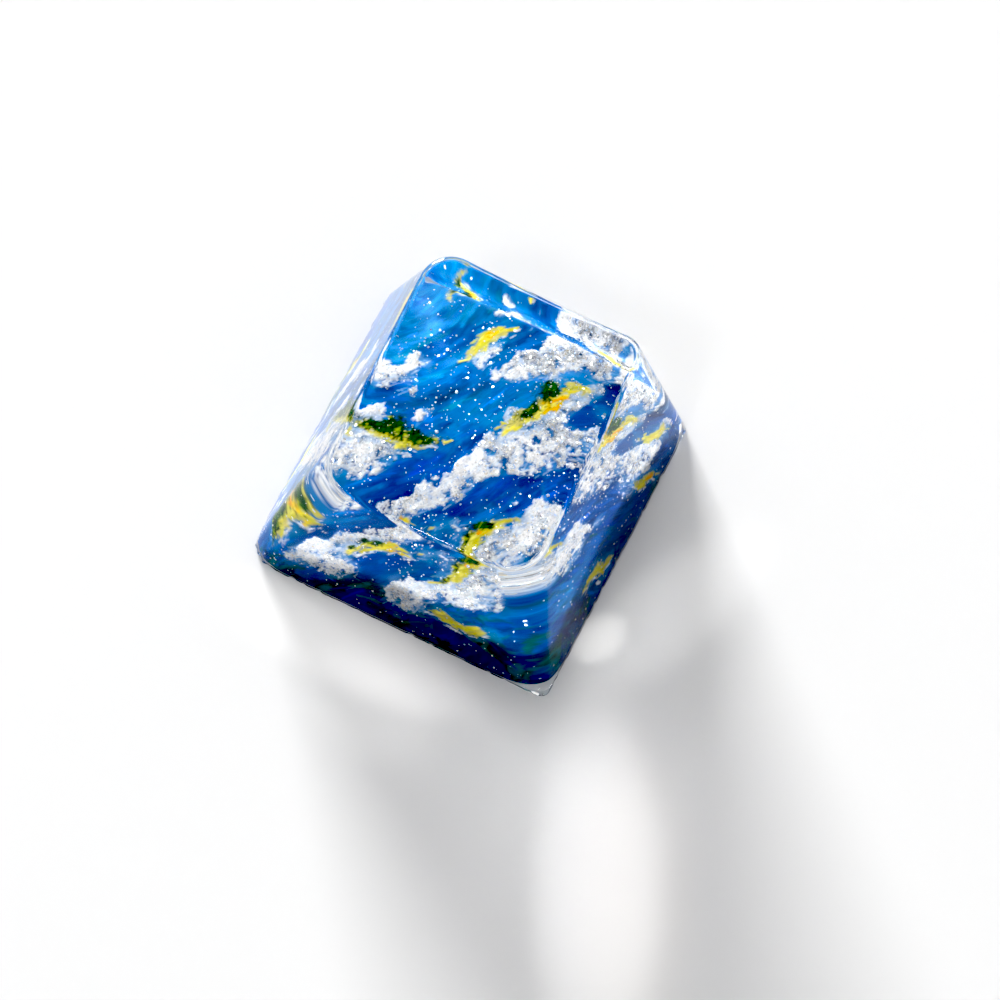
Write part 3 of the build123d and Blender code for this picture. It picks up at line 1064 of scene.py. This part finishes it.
# two small softboxes, whose reflections draw the rim, and a broad glow round the window
total = ramp.outputs["Color"]
for direction, inner, outer, strength in ((towards(255, 55), 2.5, 4.5, 30.0), (towards(152, 38), 2.5, 4.5, 26.0), (towards(132, 27), 6.0, 52.0, 0.9)):
    dot = nt.nodes.new("ShaderNodeVectorMath")
    dot.operation = "DOT_PRODUCT"
    dot.inputs[1].default_value = direction
    nt.links.new(tc.outputs["Generated"], dot.inputs[0])
    lobe = nt.nodes.new("ShaderNodeMapRange")
    lobe.interpolation_type = "SMOOTHSTEP"
    lobe.inputs["From Min"].default_value = math.cos(math.radians(outer))
    lobe.inputs["From Max"].default_value = math.cos(math.radians(inner))
    lobe.inputs["To Min"].default_value = 0.0
    lobe.inputs["To Max"].default_value = strength
    nt.links.new(dot.outputs["Value"], lobe.inputs["Value"])
    add = nt.nodes.new("ShaderNodeVectorMath")
    add.operation = "ADD"
    nt.links.new(total, add.inputs[0])
    nt.links.new(lobe.outputs["Result"], add.inputs[1])
    total = add.outputs["Vector"]
nt.links.new(total, bg.inputs["Color"])
bg.inputs["Strength"].default_value = 1.0

# low window light from the back left, which the clear resin gathers on the floor
KEY = towards(132, 9)
lamp = bpy.data.lights.new("window", "AREA")
lamp.shape, lamp.size, lamp.size_y = "RECTANGLE", 1.0, 0.40
lamp.energy = 355.0
window = bpy.data.objects.new("window", lamp)
window.location = KEY * 3.0
window.rotation_euler = KEY.to_track_quat("Z", "Y").to_euler()
scene.collection.objects.link(window)

# pools of gathered light on the floor: place, way that they run, half length, half width, colour, power
POOLS = [((16.2, -17.3), -64.3, 12.5, 4.5, (1.0, 0.985, 0.97), 0.97), ((18.1, -16.7), -64.3, 11.0, 4.0, (1.0, 0.80, 0.60), 0.16),
         ((-1.8, -11.1), -2.0, 9.5, 3.0, (1.0, 0.975, 0.95), 0.92), ((12.7, -1.4), 68.0, 8.5, 3.3, (1.0, 0.99, 0.98), 0.50),
         ((10.05, -4.5), 65.0, 1.7, 1.2, (1.0, 0.98, 0.95), 0.9), ((0.7, -13.9), -12.0, 5.5, 3.4, (1.0, 0.99, 0.98), 0.42)]
for (px, py), way, long, wide, colour, power in POOLS:
    pool = bpy.data.lights.new("pool", "SPOT")
    pool.energy, pool.color, pool.shadow_soft_size = power, colour, 0.0
    pool.spot_size, pool.spot_blend = 2 * math.atan(long / 250), 1.0
    spot = bpy.data.objects.new("pool", pool)
    spot.location = (px * 0.001, py * 0.001, 0.25)
    spot.rotation_euler = (0, 0, math.radians(way))
    spot.scale = (1, wide / long, 1)
    scene.collection.objects.link(spot)

scene.cycles.sample_clamp_indirect = 0.0
scene.view_settings.view_transform = "Standard"
scene.view_settings.use_curve_mapping = True
scene.view_settings.curve_mapping.black_level = (0.08, 0.08, 0.08)
scene.view_settings.curve_mapping.update()

# ---------------------------------------------------------------- camera
az, el, roll = math.radians(18.654), math.radians(67.217), math.radians(8.039)
back = Vector((math.sin(az) * math.cos(el), -math.cos(az) * math.cos(el), math.sin(el)))
fwd = -back
right = fwd.cross(Vector((0, 0, 1))).normalized()
up = right.cross(fwd)
right, up = math.cos(roll) * right + math.sin(roll) * up, -math.sin(roll) * right + math.cos(roll) * up
FOCAL, DIST = 8240.6, 444.2
eye = Vector((0, 0, 4.0)) - fwd * DIST
fwd = (fwd * FOCAL + right * (500 - 472.39) - up * (500 - 462.60)).normalized()
right = (right - fwd * right.dot(fwd)).normalized()
up = right.cross(fwd)
cam = bpy.data.cameras.new("camera")
cam.lens, cam.sensor_width = 36 * FOCAL / 1000, 36.0
cam.clip_start, cam.clip_end = 0.01, 20.0
camera = bpy.data.objects.new("camera", cam)
scene.collection.objects.link(camera)
rot = Matrix((right, up, -fwd)).transposed()
camera.matrix_world = Matrix.Translation(eye * 0.001) @ rot.to_4x4()
scene.camera = camera
